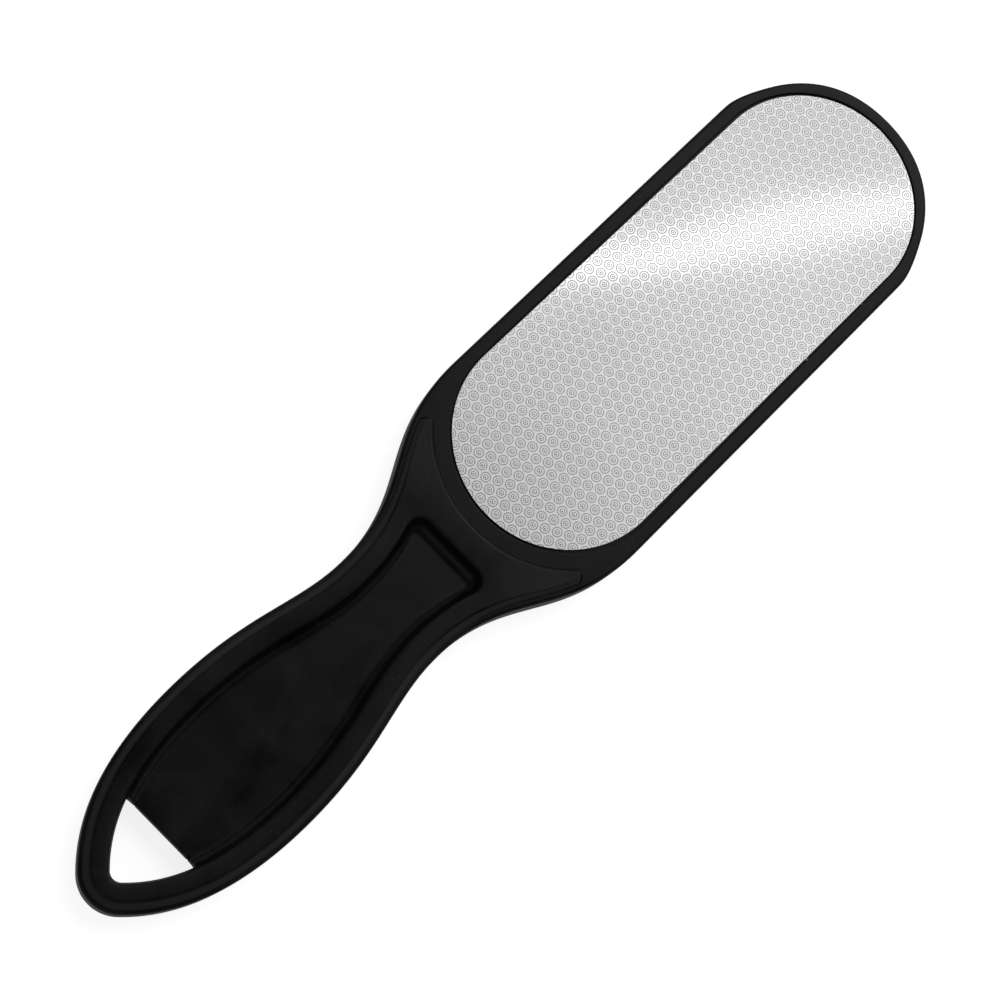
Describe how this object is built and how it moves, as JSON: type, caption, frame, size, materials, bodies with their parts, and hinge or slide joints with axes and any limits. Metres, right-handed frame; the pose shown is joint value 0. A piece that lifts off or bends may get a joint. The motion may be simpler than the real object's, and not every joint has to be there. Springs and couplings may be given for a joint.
{
  "type": "foot file",
  "caption": "Flat foot file with a round-ended head that carries an etched steel plate on each face, and a waisted, hollowed handle with a hanging hole.",
  "frame": {"origin": "centre of the bounding box: the middle of the length, on the centreline, in the parting plane half way between the two faces", "axes": "+X along the handle towards the head's tip, +Y across the head, +Z out of the front file plate"},
  "size_m": [0.266, 0.0598, 0.0112],
  "materials": {
    "body": "fine satin moulded texture, near black",
    "front_plate": "bright stainless steel with etched toothed rings",
    "rear_plate": "bright stainless steel with finer etched rings",
    "adhesive": "thin double-sided mounting film"
  },
  "bodies": {
    "root": {"body": "body", "front_plate": "front_plate", "rear_plate": "rear_plate", "front_adhesive": "adhesive", "rear_adhesive": "adhesive"}
  },
  "joints": []
}
